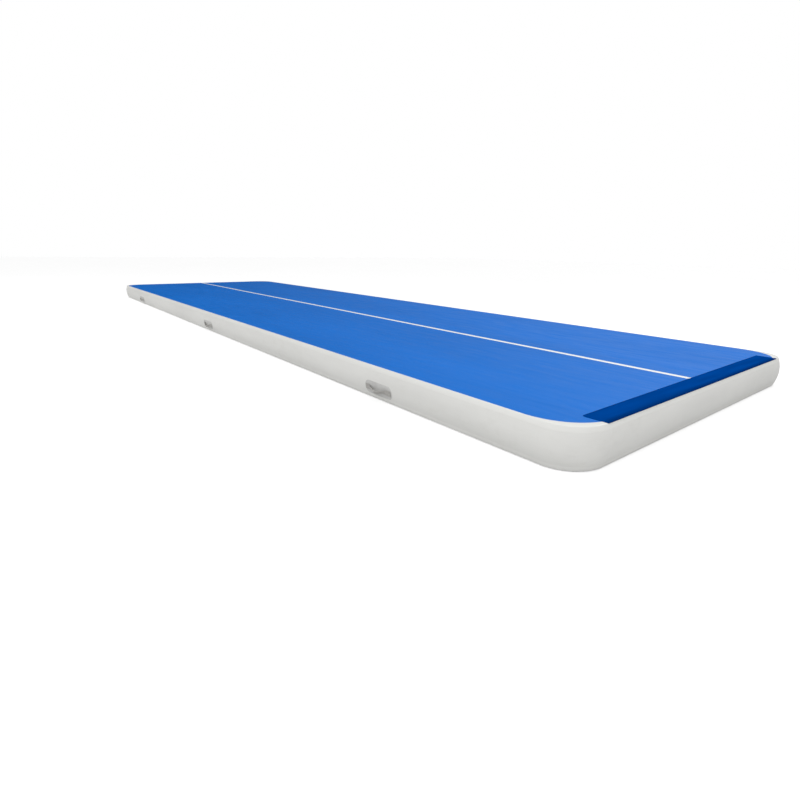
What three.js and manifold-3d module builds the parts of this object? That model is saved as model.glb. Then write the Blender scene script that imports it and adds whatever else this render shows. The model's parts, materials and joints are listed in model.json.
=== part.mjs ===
// An inflatable air track: a drop-stitch air chamber with a textured deck, a bulging sidewall,
// a hook-and-loop joining flap across one end, carry handles along both sides and one valve.
// Units are millimetres. +X is the end with the joining flap, +Z is up, and the base lies at z = 0.
import * as THREE from 'three';
import { mergeVertices } from 'three/addons/utils/BufferGeometryUtils.js';
import Module from 'manifold-3d';

const wasm = await Module();
wasm.setup();

// ---------------------------------------------------------------- driving dimensions
const LENGTH = 10000;
const WIDTH = 2770;
const HEIGHT = 220;
const CORNER_RADIUS = 200;
const CORNER_STEPS = 10;
const BULGE = 25;
const ARC_STEP = THREE.MathUtils.degToRad(7);
const GAP = 0.3;

const DECK_THICKNESS = 1.0;
const BASE_THICKNESS = 1.0;
const CLOTH_THICKNESS = 1.5;
const CLOTH_INSET = 3;
const YARN_ROWS = 9;
const YARN_ROW_PITCH = 290;
const YARN_ROW_THICKNESS = 1;
const YARN_ROW_END = 200;

const WALL_THICKNESS = 1.0;
const WALL_LAYER_GAP = 0.5;
const TAPE_THICKNESS = 0.6;
const TAPE_WIDTH = 28;

const LINE_WIDTH = 45;
const LINE_THICKNESS = 0.5;

const FLAP_SPAN = 2344;
const FLAP_CENTRE_Y = -8;
const FLAP_REACH = 134;
const FLAP_THICKNESS = 1.2;
const HOOK_THICKNESS = 1.2;
const LOOP_THICKNESS = 1.7;
const HOOK_MARGIN = 6;
const HEM_ON_DECK = 10;
const HEM_LIP = 7;

const HANDLE_PLACES = [-3500, 0, 3500];
const HANDLE_MIDDLE_Z = 78;
const PATCH_LENGTH = 300;
const PATCH_HEIGHT = 90;
const PATCH_CORNER = 43;
const PATCH_THICKNESS = 1.0;
const WEBBING_WIDTH = 38;
const WEBBING_THICKNESS = 2.4;
const SEWN_OUTER = 140;
const SEWN_INNER = 112;
const GRIP_HALF_LENGTH = 65;
const GRIP_WIDTH = 20;
const GRIP_THICKNESS = 5;
const GRIP_AXIS_OUT = 12;
const GRIP_BOW = 20;
const GRIP_DROOP = THREE.MathUtils.degToRad(30);

const VALVE_Y = 1025;
const VALVE_PANEL_LOW_Y = 862;
const VALVE_PATCH_RADIUS = 60;
const FLANGE_RADIUS = 32;
const BARREL_RADIUS = 24;
const BORE_RADIUS = 19.5;
const COLLAR_RADIUS = 22;
const COLLAR_TOP = 9;
const SEAT_TOP = -22;
const SEAT_UNDER = -25;
const STEM_RADIUS = 2.8;
const BUTTON_RADIUS = 7;
const BUTTON_TOP = -2;
const BUTTON_UNDER = -5;
const POPPET_RADIUS = 17.5;
const SPRING_RADIUS = 5;
const SPRING_WIRE = 0.6;
const SPRING_TURNS = 6;
const CAP_RADIUS = 25;
const TETHER_REACH = 33.5;
const TETHER_WIDTH = 9;
const ROUND_STEPS = 32;

const MIDDLE_Z = HEIGHT / 2;
const TURN = (2 * Math.PI) / (4 * CORNER_STEPS);
const STRAIGHT_X = LENGTH / 2 - CORNER_RADIUS * Math.cos(TURN / 2);
const STRAIGHT_Y = WIDTH / 2 - CORNER_RADIUS * Math.cos(TURN / 2);
const CHORD_HALF = MIDDLE_Z - DECK_THICKNESS;
const WALL_RADIUS = (CHORD_HALF ** 2 + BULGE ** 2) / (2 * BULGE);
const WALL_CENTRE = BULGE - WALL_RADIUS;

// ---------------------------------------------------------------- materials
const paint = (color, roughness) => new THREE.MeshStandardMaterial({ color, roughness, metalness: 0 });
const DECK_BLUE = paint(0x2a76d0, 0.42);
const WALL_WHITE = paint(0xe0e0dd, 0.38);
const TAPE_WHITE = paint(0xe9e8e5, 0.4);
const BASE_GREY = paint(0xa9abad, 0.6);
const YARN_WHITE = paint(0xdad7cc, 0.9);
const LINE_WHITE = paint(0xf6f7f6, 0.5);
const FLAP_BLUE = paint(0x00408f, 0.7);
const PATCH_GREY = paint(0xc2c1bf, 0.5);
const WEBBING_GREY = paint(0xb3b1ae, 0.85);
const VALVE_GREY = paint(0x8d9196, 0.45);
const RUBBER_BLACK = paint(0x1d1e20, 0.8);
const STEEL = new THREE.MeshStandardMaterial({ color: 0xc3c6c9, roughness: 0.3, metalness: 1 });

// ---------------------------------------------------------------- solids
function solid(geometry) {
  const bare = geometry.clone();
  bare.deleteAttribute('normal');
  bare.deleteAttribute('uv');
  const merged = mergeVertices(bare, 1e-4);
  return new wasm.Manifold(new wasm.Mesh({
    numProp: 3,
    vertProperties: merged.attributes.position.array,
    triVerts: merged.index.array,
  }));
}

function toGeometry(manifold) {
  const mesh = manifold.getMesh();
  const geometry = new THREE.BufferGeometry();
  geometry.setAttribute('position', new THREE.BufferAttribute(mesh.vertProperties, 3));
  geometry.setIndex(new THREE.BufferAttribute(mesh.triVerts, 1));
  return geometry;
}

const subtract = (base, ...tools) =>
  toGeometry(tools.reduce((left, tool) => left.subtract(solid(tool)), solid(base)));
const join = (base, ...others) =>
  toGeometry(others.reduce((sum, other) => sum.add(solid(other)), solid(base)));
const intersect = (base, tool) => toGeometry(solid(base).intersect(solid(tool)));

function block(lowX, highX, lowY, highY, lowZ, highZ) {
  const box = new THREE.BoxGeometry(highX - lowX, highY - lowY, highZ - lowZ);
  return box.translate((lowX + highX) / 2, (lowY + highY) / 2, (lowZ + highZ) / 2);
}

// A profile of (distance out from the plan outline, height) carried round the rounded rectangle:
// it is turned about the vertical and its four quarters are moved out to the corners.
function roundTheMat(profile) {
  const points = profile.map(([out, z]) => new THREE.Vector2(Math.max(CORNER_RADIUS + out, 0), z));
  const ring = new THREE.LatheGeometry(points, 4 * CORNER_STEPS, TURN / 2);
  ring.rotateX(Math.PI / 2);
  const place = ring.attributes.position;
  for (let i = 0; i < place.count; i += 1) {
    place.setX(i, place.getX(i) + Math.sign(place.getX(i)) * STRAIGHT_X);
    place.setY(i, place.getY(i) + Math.sign(place.getY(i)) * STRAIGHT_Y);
  }
  return ring;
}

// A flat sheet in the mat's plan outline, moved in by an inset.
function sheet(lowZ, highZ, inset = 0) {
  const centre = -CORNER_RADIUS;
  return roundTheMat([[centre, lowZ], [-inset, lowZ], [-inset, highZ], [centre, highZ]]);
}

// Points on the bulged wall between two heights, as (out, z), offset from its outer surface.
// Every layer breaks at the same angles, so nested layers stay parallel.
function wallArc(offset, lowZ, highZ) {
  const radius = WALL_RADIUS + offset;
  const low = Math.asin((lowZ - MIDDLE_Z) / radius);
  const high = Math.asin((highZ - MIDDLE_Z) / radius);
  const angles = [low];
  for (let k = Math.ceil(low / ARC_STEP + 0.1); k * ARC_STEP < high - 0.1 * ARC_STEP; k += 1) {
    angles.push(k * ARC_STEP);
  }
  angles.push(high);
  return angles.map((a) => [WALL_CENTRE + radius * Math.cos(a), MIDDLE_Z + radius * Math.sin(a)]);
}

// The closed section of one wall layer between two offsets and two heights.
function wallBand(inner, outer, lowZ, highZ) {
  const profile = [...wallArc(outer, lowZ, highZ), ...wallArc(inner, lowZ, highZ).reverse()];
  return [...profile, profile[0]];
}

function polygon(points) {
  return new THREE.Shape(points.map(([x, y]) => new THREE.Vector2(x, y)));
}

function slab(shape, depth) {
  return new THREE.ExtrudeGeometry(shape, { depth, bevelEnabled: false, curveSegments: 6 });
}

// A piece of wall layer in a fitting's own frame: -Y points out of the wall and y = 0 is the
// wall's outer surface at mid-height. The layer is cut to an outline given in X and Z.
function wallPatch(offset, thickness, halfLength, outline) {
  const band = wallBand(offset, offset + thickness, 10, HEIGHT - 10);
  const layer = slab(polygon(band.slice(0, -1).map(([out, z]) => [out - BULGE, z])), 2 * halfLength);
  layer.rotateX(Math.PI / 2).rotateZ(-Math.PI / 2).translate(halfLength, 0, -MIDDLE_Z);
  const cutter = slab(outline, 200).rotateX(Math.PI / 2).translate(0, 100, 0);
  return intersect(layer, cutter);
}

function roundedRectangle(length, height, radius) {
  const right = length / 2 - radius;
  const top = height / 2 - radius;
  const shape = new THREE.Shape();
  shape.absarc(right, top, radius, 0, Math.PI / 2);
  shape.absarc(-right, top, radius, Math.PI / 2, Math.PI);
  shape.absarc(-right, -top, radius, Math.PI, 1.5 * Math.PI);
  shape.absarc(right, -top, radius, 1.5 * Math.PI, 2 * Math.PI);
  return shape;
}

// A turned piece of the valve from (radius, distance out of the wall) points; -Y points out.
function turned(profile, closed = true) {
  const loop = closed ? [...profile, profile[0]] : profile;
  const points = loop.map(([radius, out]) => new THREE.Vector2(radius, out));
  return new THREE.LatheGeometry(points, ROUND_STEPS).rotateX(Math.PI);
}

function ring(inner, outer, low, high) {
  return turned([[inner, low], [outer, low], [outer, high], [inner, high]]);
}

function disc(radius, low, high) {
  return turned([[0, low], [radius, low], [radius, high], [0, high]], false);
}

// ---------------------------------------------------------------- assembly
const airTrack = new THREE.Group();

function add(group, name, geometry, material) {
  const mesh = new THREE.Mesh(geometry, material);
  mesh.name = name;
  group.add(mesh);
}

// ---------------------------------------------------------------- air chamber
const DECK_UNDER = HEIGHT - DECK_THICKNESS;
const TOP_CLOTH_HIGH = DECK_UNDER - GAP;
const TOP_CLOTH_LOW = TOP_CLOTH_HIGH - CLOTH_THICKNESS;
const BOTTOM_CLOTH_LOW = BASE_THICKNESS + GAP;
const BOTTOM_CLOTH_HIGH = BOTTOM_CLOTH_LOW + CLOTH_THICKNESS;

// The core is woven as one piece: two base cloths held together by rows of drop yarn.
function dropStitchCore() {
  const cloths = [
    sheet(BOTTOM_CLOTH_LOW, BOTTOM_CLOTH_HIGH, CLOTH_INSET),
    sheet(TOP_CLOTH_LOW, TOP_CLOTH_HIGH, CLOTH_INSET),
  ];
  const rowEnd = LENGTH / 2 - YARN_ROW_END;
  const low = BOTTOM_CLOTH_HIGH - CLOTH_THICKNESS / 2;
  const high = TOP_CLOTH_LOW + CLOTH_THICKNESS / 2;
  const rows = [];
  for (let i = 0; i < YARN_ROWS; i += 1) {
    const y = (i - (YARN_ROWS - 1) / 2) * YARN_ROW_PITCH;
    const half = YARN_ROW_THICKNESS / 2;
    rows.push(block(-rowEnd, rowEnd, y - half, y + half, low, high));
  }
  return join(...cloths, ...rows);
}

// Everything that passes through the wall at the valve is cleared by this round hole.
const VALVE_PLACE = new THREE.Vector3(-(LENGTH / 2 + BULGE), VALVE_Y, MIDDLE_Z);
function valveHole(radius) {
  const hole = new THREE.CylinderGeometry(radius, radius, 120, ROUND_STEPS).rotateZ(Math.PI / 2);
  return hole.translate(VALVE_PLACE.x, VALVE_PLACE.y, VALVE_PLACE.z);
}

function innerSidewall() {
  const outer = -WALL_THICKNESS - WALL_LAYER_GAP;
  const low = BOTTOM_CLOTH_HIGH + GAP;
  const wall = roundTheMat(wallBand(outer - WALL_THICKNESS, outer, low, HEIGHT - low));
  return subtract(wall, valveHole(BARREL_RADIUS + 1));
}

function addSidewalls() {
  const low = BASE_THICKNESS + GAP;
  const wall = roundTheMat(wallBand(-WALL_THICKNESS, 0, low, HEIGHT - low));
  const far = LENGTH;
  const x = STRAIGHT_X - GAP / 2;
  const y = STRAIGHT_Y - GAP / 2;
  const cornerX = STRAIGHT_X + GAP / 2;
  const cornerY = STRAIGHT_Y + GAP / 2;
  const cut = (...limits) => intersect(wall, block(...limits, 0, HEIGHT));
  add(airTrack, 'sidewall_left', cut(-x, x, -far, 0), WALL_WHITE);
  add(airTrack, 'sidewall_right', cut(-x, x, 0, far), WALL_WHITE);
  add(airTrack, 'sidewall_near_end', cut(0, far, -y, y), WALL_WHITE);
  add(airTrack, 'sidewall_far_end', cut(-far, 0, -y, VALVE_PANEL_LOW_Y - GAP), WALL_WHITE);
  const panel = subtract(cut(-far, 0, VALVE_PANEL_LOW_Y, y), valveHole(BARREL_RADIUS + 1));
  add(airTrack, 'valve_panel', panel, WALL_WHITE);
  add(airTrack, 'corner_wrap_near_left', cut(cornerX, far, -far, -cornerY), WALL_WHITE);
  add(airTrack, 'corner_wrap_near_right', cut(cornerX, far, cornerY, far), WALL_WHITE);
  add(airTrack, 'corner_wrap_far_left', cut(-far, -cornerX, -far, -cornerY), WALL_WHITE);
  add(airTrack, 'corner_wrap_far_right', cut(-far, -cornerX, cornerY, far), WALL_WHITE);
}

function seamTape(lowZ, highZ) {
  return roundTheMat(wallBand(WALL_LAYER_GAP, WALL_LAYER_GAP + TAPE_THICKNESS, lowZ, highZ));
}

add(airTrack, 'drop_stitch_core', dropStitchCore(), YARN_WHITE);
add(airTrack, 'deck_sheet', sheet(DECK_UNDER, HEIGHT), DECK_BLUE);
add(airTrack, 'base_sheet', sheet(0, BASE_THICKNESS), BASE_GREY);
add(airTrack, 'inner_sidewall', innerSidewall(), WALL_WHITE);
addSidewalls();
const TAPE_END = 3;
add(airTrack, 'top_seam_tape', seamTape(HEIGHT - TAPE_END - TAPE_WIDTH, HEIGHT - TAPE_END), TAPE_WHITE);
add(airTrack, 'bottom_seam_tape', seamTape(TAPE_END, TAPE_END + TAPE_WIDTH), TAPE_WHITE);

// ---------------------------------------------------------------- deck: centre line and joining flap
const FLAP_INNER_X = LENGTH / 2 - FLAP_REACH;
const FLAP_OUTER_X = LENGTH / 2 - HEM_ON_DECK - GAP;
const FLAP_LOW_Y = FLAP_CENTRE_Y - FLAP_SPAN / 2;
const FLAP_HIGH_Y = FLAP_CENTRE_Y + FLAP_SPAN / 2;
const LOOP_LOW = HEIGHT + GAP;
const HOOK_LOW = LOOP_LOW + LOOP_THICKNESS + GAP;
const FLAP_LOW = HOOK_LOW + HOOK_THICKNESS + GAP;
const FLAP_HIGH = FLAP_LOW + FLAP_THICKNESS;

function acrossTheEnd(lowX, highX, margin, lowZ, thickness) {
  return block(lowX, highX, FLAP_LOW_Y + margin, FLAP_HIGH_Y - margin, lowZ, lowZ + thickness);
}

// The hem is welded along the deck's end, holds the flap and ends in a lip that turns over the edge.
function flapHem() {
  const lipZ = HEIGHT - 1;
  const profile = [
    [-HEM_ON_DECK, LOOP_LOW],
    [0.5 * HEM_LIP, LOOP_LOW],
    [HEM_LIP - 1, lipZ],
    [HEM_LIP, lipZ + 0.5],
    [HEM_LIP - 1.2, LOOP_LOW + 1.8],
    [0.4 * HEM_LIP, FLAP_LOW],
    [-0.3 * HEM_LIP, FLAP_HIGH],
    [-HEM_ON_DECK, FLAP_HIGH],
  ];
  const hem = slab(polygon(profile), FLAP_SPAN);
  return hem.rotateX(Math.PI / 2).translate(LENGTH / 2, FLAP_HIGH_Y, 0);
}

const lineEnd = LENGTH / 2 - 6;
const lineTop = HEIGHT + GAP + LINE_THICKNESS;
const centreLine = block(
  -lineEnd, FLAP_INNER_X - 1, -LINE_WIDTH / 2, LINE_WIDTH / 2, HEIGHT + GAP, lineTop,
);
add(airTrack, 'centre_line', centreLine, LINE_WHITE);
const loopTape = acrossTheEnd(
  FLAP_INNER_X + HOOK_MARGIN, FLAP_OUTER_X - HOOK_MARGIN, HOOK_MARGIN, LOOP_LOW, LOOP_THICKNESS,
);
add(airTrack, 'deck_loop_tape', loopTape, FLAP_BLUE);
const hookTape = acrossTheEnd(
  FLAP_INNER_X + HOOK_MARGIN, FLAP_OUTER_X - HOOK_MARGIN, HOOK_MARGIN, HOOK_LOW, HOOK_THICKNESS,
);
add(airTrack, 'flap_hook_tape', hookTape, FLAP_BLUE);
const flap = acrossTheEnd(FLAP_INNER_X, FLAP_OUTER_X, 0, FLAP_LOW, FLAP_THICKNESS);
add(airTrack, 'joining_flap', flap, FLAP_BLUE);
add(airTrack, 'flap_hem', flapHem(), FLAP_BLUE);

// ---------------------------------------------------------------- carry handles
const SEWN_OUT = WALL_LAYER_GAP + PATCH_THICKNESS + 2 * GAP;
const HANDLE_TILT = Math.asin((HANDLE_MIDDLE_Z - MIDDLE_Z) / WALL_RADIUS);

// The webbing lies flat where it is sewn and rises in a smooth curve to the grip.
function webbingEnd(side) {
  const steps = 6;
  const tip = GRIP_HALF_LENGTH + 1;
  const climb = GRIP_AXIS_OUT - SEWN_OUT - WEBBING_THICKNESS / 2;
  const under = [[SEWN_OUTER, SEWN_OUT]];
  for (let i = 0; i <= steps; i += 1) {
    const rise = ((1 - Math.cos((Math.PI * i) / steps)) / 2) * climb;
    under.push([SEWN_INNER + ((tip - SEWN_INNER) * i) / steps, SEWN_OUT + rise]);
  }
  const over = under.map(([x, out]) => [x, out + WEBBING_THICKNESS]).reverse();
  const outline = [...under, ...over].map(([x, out]) => [side * x, out]);
  const end = slab(polygon(outline), WEBBING_WIDTH).rotateX(Math.PI);
  return end.translate(0, 0, WEBBING_WIDTH / 2);
}

// The grip is webbing folded lengthwise and sewn. It bows out and hangs below its hinge line.
function grip() {
  const steps = 12;
  const inner = [];
  for (let i = 0; i <= steps; i += 1) {
    const x = GRIP_HALF_LENGTH * ((2 * i) / steps - 1);
    const bow = GRIP_BOW * Math.cos((Math.PI * x) / (2 * GRIP_HALF_LENGTH));
    inner.push([x, bow - GRIP_THICKNESS / 2]);
  }
  const outer = inner.map(([x, bow]) => [x, bow + GRIP_THICKNESS]).reverse();
  const bar = slab(polygon([...inner, ...outer]), GRIP_WIDTH).rotateX(Math.PI);
  bar.translate(0, 0, GRIP_WIDTH / 2).rotateX(GRIP_DROOP);
  return bar.translate(0, -GRIP_AXIS_OUT, 0);
}

// The wall's section is an arc, so a handle below mid-height is one turned down about the arc's centre.
function addHandles() {
  const outline = roundedRectangle(PATCH_LENGTH, PATCH_HEIGHT, PATCH_CORNER);
  const patch = wallPatch(WALL_LAYER_GAP, PATCH_THICKNESS, PATCH_LENGTH, outline);
  const sides = { left: -1, right: 1 };
  for (const [side, out] of Object.entries(sides)) {
    HANDLE_PLACES.forEach((x, i) => {
      const arcCentre = new THREE.Group();
      arcCentre.position.set(x, out * (WIDTH / 2 + WALL_CENTRE), MIDDLE_Z);
      arcCentre.rotation.z = out < 0 ? 0 : Math.PI;
      const handle = new THREE.Group();
      handle.position.set(0, -WALL_RADIUS * Math.cos(HANDLE_TILT), WALL_RADIUS * Math.sin(HANDLE_TILT));
      handle.rotation.x = -HANDLE_TILT;
      const name = `handle_${side}_${i + 1}`;
      add(handle, `${name}_patch`, patch, PATCH_GREY);
      add(handle, `${name}_sewn_end_a`, webbingEnd(-1), WEBBING_GREY);
      add(handle, `${name}_sewn_end_b`, webbingEnd(1), WEBBING_GREY);
      add(handle, `${name}_grip`, grip(), WEBBING_GREY);
      arcCentre.add(handle);
      airTrack.add(arcCentre);
    });
  }
}

addHandles();

// ---------------------------------------------------------------- inflation valve
const valve = new THREE.Group();
valve.position.copy(VALVE_PLACE);
valve.rotation.z = -Math.PI / 2;

function valvePatch() {
  const outline = new THREE.Shape().absarc(0, 0, VALVE_PATCH_RADIUS, 0, 2 * Math.PI);
  const patch = wallPatch(WALL_LAYER_GAP, PATCH_THICKNESS, VALVE_PATCH_RADIUS + 5, outline);
  const hole = new THREE.CylinderGeometry(BARREL_RADIUS + 1, BARREL_RADIUS + 1, 60, ROUND_STEPS);
  return subtract(patch, hole);
}

// The gasket is squeezed flat under the flange and follows the patch's curve underneath.
function valveGasket() {
  const blank = ring(BARREL_RADIUS + 1.2, FLANGE_RADIUS - 2, -5, 3.5);
  const patchTop = WALL_LAYER_GAP + PATCH_THICKNESS + GAP;
  const curve = wallArc(patchTop, 10, HEIGHT - 10).map(([out, z]) => [out - BULGE, z]);
  const depth = 4 * FLANGE_RADIUS;
  const wall = slab(polygon([...curve, [-BULGE, HEIGHT - 10], [-BULGE, 10]]), depth);
  wall.rotateX(Math.PI / 2).rotateZ(-Math.PI / 2).translate(depth / 2, 0, -MIDDLE_Z);
  return subtract(blank, wall);
}

// The flange, collar, barrel and seat are one moulding; three ribs hold the stem's guide.
function valveBody() {
  const shell = turned([
    [BORE_RADIUS, SEAT_UNDER + 3],
    [14, SEAT_TOP],
    [14, SEAT_UNDER],
    [BARREL_RADIUS, SEAT_UNDER],
    [BARREL_RADIUS, 3.8],
    [FLANGE_RADIUS, 3.8],
    [FLANGE_RADIUS, 5.4],
    [FLANGE_RADIUS - 1, 6.2],
    [COLLAR_RADIUS, 6.2],
    [COLLAR_RADIUS, COLLAR_TOP],
    [BORE_RADIUS, COLLAR_TOP],
  ]);
  const hub = disc(STEM_RADIUS + 3, SEAT_UNDER, SEAT_TOP);
  const ribs = [0, 1, 2].map((i) => {
    const rib = block(STEM_RADIUS + 1, 16, -SEAT_TOP + 0.4, -SEAT_UNDER - 0.4, -1.6, 1.6);
    return rib.rotateY((i * 2 * Math.PI) / 3);
  });
  const guide = disc(STEM_RADIUS + 0.3, SEAT_UNDER - 5, SEAT_TOP + 5);
  return subtract(join(shell, hub, ...ribs), guide);
}

function valveNut() {
  const nut = ring(BARREL_RADIUS + GAP, FLANGE_RADIUS, -13, -5.8);
  const notches = [0, 1, 2, 3, 4, 5].map((i) => {
    const notch = block(FLANGE_RADIUS - 4, FLANGE_RADIUS + 4, 9, 20, -3, 3);
    return notch.rotateY((i * Math.PI) / 3);
  });
  return subtract(nut, ...notches);
}

function valveStem() {
  const poppetTop = SEAT_UNDER - 1.6;
  return turned([
    [0, poppetTop - 3],
    [POPPET_RADIUS, poppetTop - 3],
    [POPPET_RADIUS, poppetTop],
    [STEM_RADIUS, poppetTop],
    [STEM_RADIUS, BUTTON_UNDER],
    [BUTTON_RADIUS, BUTTON_UNDER],
    [BUTTON_RADIUS, BUTTON_TOP - 1],
    [BUTTON_RADIUS - 1, BUTTON_TOP],
    [0, BUTTON_TOP],
  ], false);
}

class SpringCurve extends THREE.Curve {
  getPoint(t, target = new THREE.Vector3()) {
    const angle = t * SPRING_TURNS * 2 * Math.PI;
    const margin = SPRING_WIRE + GAP;
    const low = SEAT_TOP + margin;
    const high = BUTTON_UNDER - margin;
    const out = low + (high - low) * t;
    return target.set(SPRING_RADIUS * Math.cos(angle), -out, SPRING_RADIUS * Math.sin(angle));
  }
}

function valveSpring() {
  const wire = new THREE.Shape().absarc(0, 0, SPRING_WIRE, 0, 2 * Math.PI);
  return new THREE.ExtrudeGeometry(wire, {
    steps: 9 * SPRING_TURNS,
    curveSegments: 3,
    extrudePath: new SpringCurve(),
  });
}

function valveCap() {
  const underside = COLLAR_TOP + GAP;
  const plate = turned([
    [0, underside + 1],
    [BORE_RADIUS - 4, underside + 1],
    [BORE_RADIUS - 4, COLLAR_TOP - 5],
    [BORE_RADIUS - 1.6, COLLAR_TOP - 5],
    [BORE_RADIUS - 1.6, underside],
    [CAP_RADIUS, underside],
    [CAP_RADIUS, underside + 2.2],
    [CAP_RADIUS - 1.2, underside + 3.2],
    [0, underside + 3.2],
  ], false);
  const fin = block(-16, 16, -underside - 8, -underside - 2, -2.5, 2.5);
  return join(plate, fin);
}

// The tether ring turns on the collar. Its tab reaches out to the fold in the tether.
function tetherRing() {
  const band = ring(COLLAR_RADIUS + GAP, COLLAR_RADIUS + 4.5, 6.5, 8.2);
  const half = TETHER_WIDTH / 2;
  return join(band, block(-half, half, -7.7, -6.9, COLLAR_RADIUS + 3, TETHER_REACH));
}

function capTether() {
  const half = TETHER_WIDTH / 2;
  const low = COLLAR_TOP + GAP;
  return block(-half, half, -low - 1.4, -low, CAP_RADIUS + 0.5, TETHER_REACH);
}

add(valve, 'valve_patch', valvePatch(), PATCH_GREY);
add(valve, 'valve_gasket', valveGasket(), RUBBER_BLACK);
add(valve, 'valve_body', valveBody(), VALVE_GREY);
add(valve, 'valve_nut', valveNut(), VALVE_GREY);
add(valve, 'valve_stem', valveStem(), VALVE_GREY);
add(valve, 'valve_seal', ring(11, POPPET_RADIUS - 0.3, SEAT_UNDER - 1.3, SEAT_UNDER - 0.3), RUBBER_BLACK);
add(valve, 'valve_spring', valveSpring(), STEEL);
add(valve, 'valve_cap', valveCap(), VALVE_GREY);
const sealInner = BORE_RADIUS - 1.3;
add(valve, 'cap_seal', ring(sealInner, BORE_RADIUS - 0.4, COLLAR_TOP - 4, COLLAR_TOP - 2.5), RUBBER_BLACK);
add(valve, 'tether_ring', tetherRing(), VALVE_GREY);
add(valve, 'cap_tether', capTether(), VALVE_GREY);
airTrack.add(valve);

export default airTrack;
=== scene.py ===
import json
import math

import bmesh
import bpy
import numpy as np
from mathutils import Matrix, Vector


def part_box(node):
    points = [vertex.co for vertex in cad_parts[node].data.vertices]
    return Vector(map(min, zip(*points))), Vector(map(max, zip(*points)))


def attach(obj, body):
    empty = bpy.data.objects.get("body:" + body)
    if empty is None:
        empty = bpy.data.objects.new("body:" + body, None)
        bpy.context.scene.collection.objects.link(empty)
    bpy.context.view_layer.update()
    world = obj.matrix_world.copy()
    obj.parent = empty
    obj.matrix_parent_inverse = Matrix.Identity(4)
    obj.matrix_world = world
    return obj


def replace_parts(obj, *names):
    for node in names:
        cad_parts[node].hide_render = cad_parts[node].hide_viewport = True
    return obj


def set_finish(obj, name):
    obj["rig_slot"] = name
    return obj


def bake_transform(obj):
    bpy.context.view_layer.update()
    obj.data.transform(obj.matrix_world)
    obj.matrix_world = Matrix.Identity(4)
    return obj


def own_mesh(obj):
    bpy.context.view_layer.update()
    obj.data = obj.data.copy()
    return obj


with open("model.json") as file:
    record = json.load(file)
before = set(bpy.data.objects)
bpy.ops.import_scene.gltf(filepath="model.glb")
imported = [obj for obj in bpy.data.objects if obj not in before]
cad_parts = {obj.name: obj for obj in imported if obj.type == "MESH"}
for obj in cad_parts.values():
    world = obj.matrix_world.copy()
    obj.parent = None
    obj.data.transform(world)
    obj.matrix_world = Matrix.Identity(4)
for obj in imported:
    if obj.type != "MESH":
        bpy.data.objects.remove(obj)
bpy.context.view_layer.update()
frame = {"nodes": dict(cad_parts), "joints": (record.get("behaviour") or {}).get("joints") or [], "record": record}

# ---------------------------------------------------------------- sizes, in metres, from the frame
MM = 0.001
HALF_X, HALF_Y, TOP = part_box("deck_sheet")[1]
MIDDLE = TOP / 2
STRAIGHT_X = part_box("corner_wrap_near_left")[0].x
CORNER = HALF_X - STRAIGHT_X
STRAIGHT_Y = HALF_Y - CORNER
BULGE = -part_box("sidewall_left")[0].y - HALF_Y
WALL_RADIUS = (MIDDLE ** 2 + BULGE ** 2) / (2 * BULGE)
WALL_CENTRE = BULGE - WALL_RADIUS
EDGE_RADIUS = 8 * MM
TAPE_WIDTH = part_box("bottom_seam_tape")[1].z
WRAP_LAP = 28 * MM
STRIP_OUT, WRAP_OUT, TAPE_OUT, PATCH_OUT = 0.0, 0.4 * MM, 0.9 * MM, 1.4 * MM
LINE_LIFT = 0.5 * MM
BLUE_X, BLUE_Y, BLUE_CORNER = HALF_X - 9 * MM, HALF_Y - 9 * MM, 315 * MM
ARC = CORNER * math.pi / 2
SIDE_STARTS = np.cumsum([0] + [2 * STRAIGHT_X, ARC, 2 * STRAIGHT_Y, ARC] * 2)
ROUND = SIDE_STARTS[-1]
CLOTH_COLUMNS = 2000
CLOTH_STEP = ROUND / CLOTH_COLUMNS
SINK_WIDTH, SINK_DEPTH = 5 * MM, 0.7 * MM

VALVE_AT = (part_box("valve_cap")[0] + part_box("valve_cap")[1]) / 2
VALVE_PANEL_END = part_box("valve_panel")[0].y
VALVE_HOLE, VALVE_CALM = 25 * MM, 66 * MM
PANEL_OUT = STRIP_OUT - 0.3 * MM
PANEL_COLUMNS, PANEL_ROWS, HOLE_RINGS = 40, 24, 26

# The edge fillet touches both the deck's plane and the wall's arc.
FILLET_OUT = WALL_CENTRE + math.sqrt((WALL_RADIUS - EDGE_RADIUS) ** 2 - (MIDDLE - EDGE_RADIUS) ** 2)
FILLET_TILT = math.atan2(MIDDLE - EDGE_RADIUS, FILLET_OUT - WALL_CENTRE)
DECK_TILT = math.radians(38)
BOTTOM_TAPE_TILT = math.radians(46)
RIM_TILT = math.asin((TOP - 4 * MM - MIDDLE) / WALL_RADIUS)

# Each kind of stitch is given as (pitch, length, thread radius).
FLAP_STITCH = (5.2 * MM, 3.6 * MM, 0.45 * MM)
BOX_STITCH = (3.4 * MM, 2.6 * MM, 0.4 * MM)
SLEEVE_STITCH = (3.6 * MM, 2.7 * MM, 0.4 * MM)

SHEET_THICK, WALL_THICK, TAPE_THICK = 0.8 * MM, 0.5 * MM, 0.4 * MM
PATCH_THICK, FLAP_THICK, PILE_THICK = 0.9 * MM, 1.0 * MM, 0.5 * MM
STRIP_LAP = 5 * MM
TAPE_SINK = 2 * MM
WALL_ROWS = 40
MOULDED_EDGE, SHARP_EDGE = 0.5 * MM, math.radians(35)


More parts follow.
